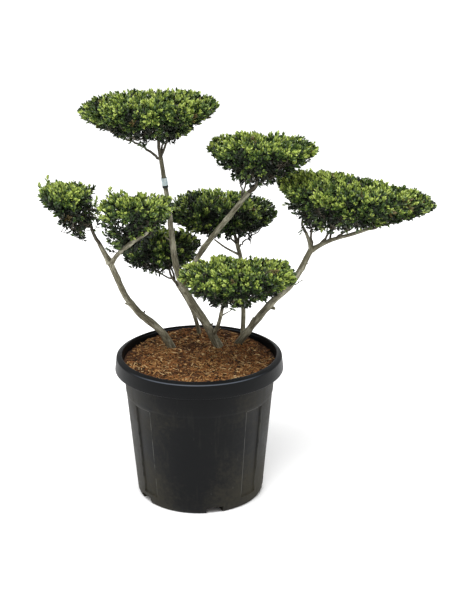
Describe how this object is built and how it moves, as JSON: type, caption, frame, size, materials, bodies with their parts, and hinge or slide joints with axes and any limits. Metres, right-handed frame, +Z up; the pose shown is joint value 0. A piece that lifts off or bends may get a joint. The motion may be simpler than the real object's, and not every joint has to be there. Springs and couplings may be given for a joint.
{
  "type": "potted japanese holly",
  "caption": "Cloud-pruned Japanese holly with bare crooked stems carrying clipped pads of small leaves, in a black nursery pot.",
  "frame": {"origin": "centre of the pot's flat underside", "axes": "+Z up, +Y away from the side that the picture shows, +X to that side's right"},
  "size_m": [1.0678, 0.6352, 1.1393],
  "materials": {
    "pot": "satin black moulded plastic",
    "compost": "shredded bark mulch, rough",
    "bark": "grey-brown bark, rough",
    "foliage": "small glossy dark green leaves",
    "label": "blank pale film",
    "tie": "black strip"
  },
  "bodies": {
    "root": {"pot": "pot", "compost": "compost", "stem_left": "bark", "stem_middle": "bark", "stem_right": "bark", "stem_back": "bark", "stem_slender": "bark", "bough_outer_left": "bark", "bough_inner_left": "bark", "bough_low": "bark", "bough_upper_right": "bark", "bough_back_side": "bark", "bough_inner_right": "bark", "bough_outer_right": "bark", "pad_top_left": "foliage", "pad_outer_left": "foliage", "pad_inner_left": "foliage", "pad_low_left": "foliage", "pad_back": "foliage", "pad_upper_right": "foliage", "pad_right": "foliage", "pad_low_front": "foliage", "label_wrap": "label", "label_tie": "tie"}
  },
  "joints": []
}
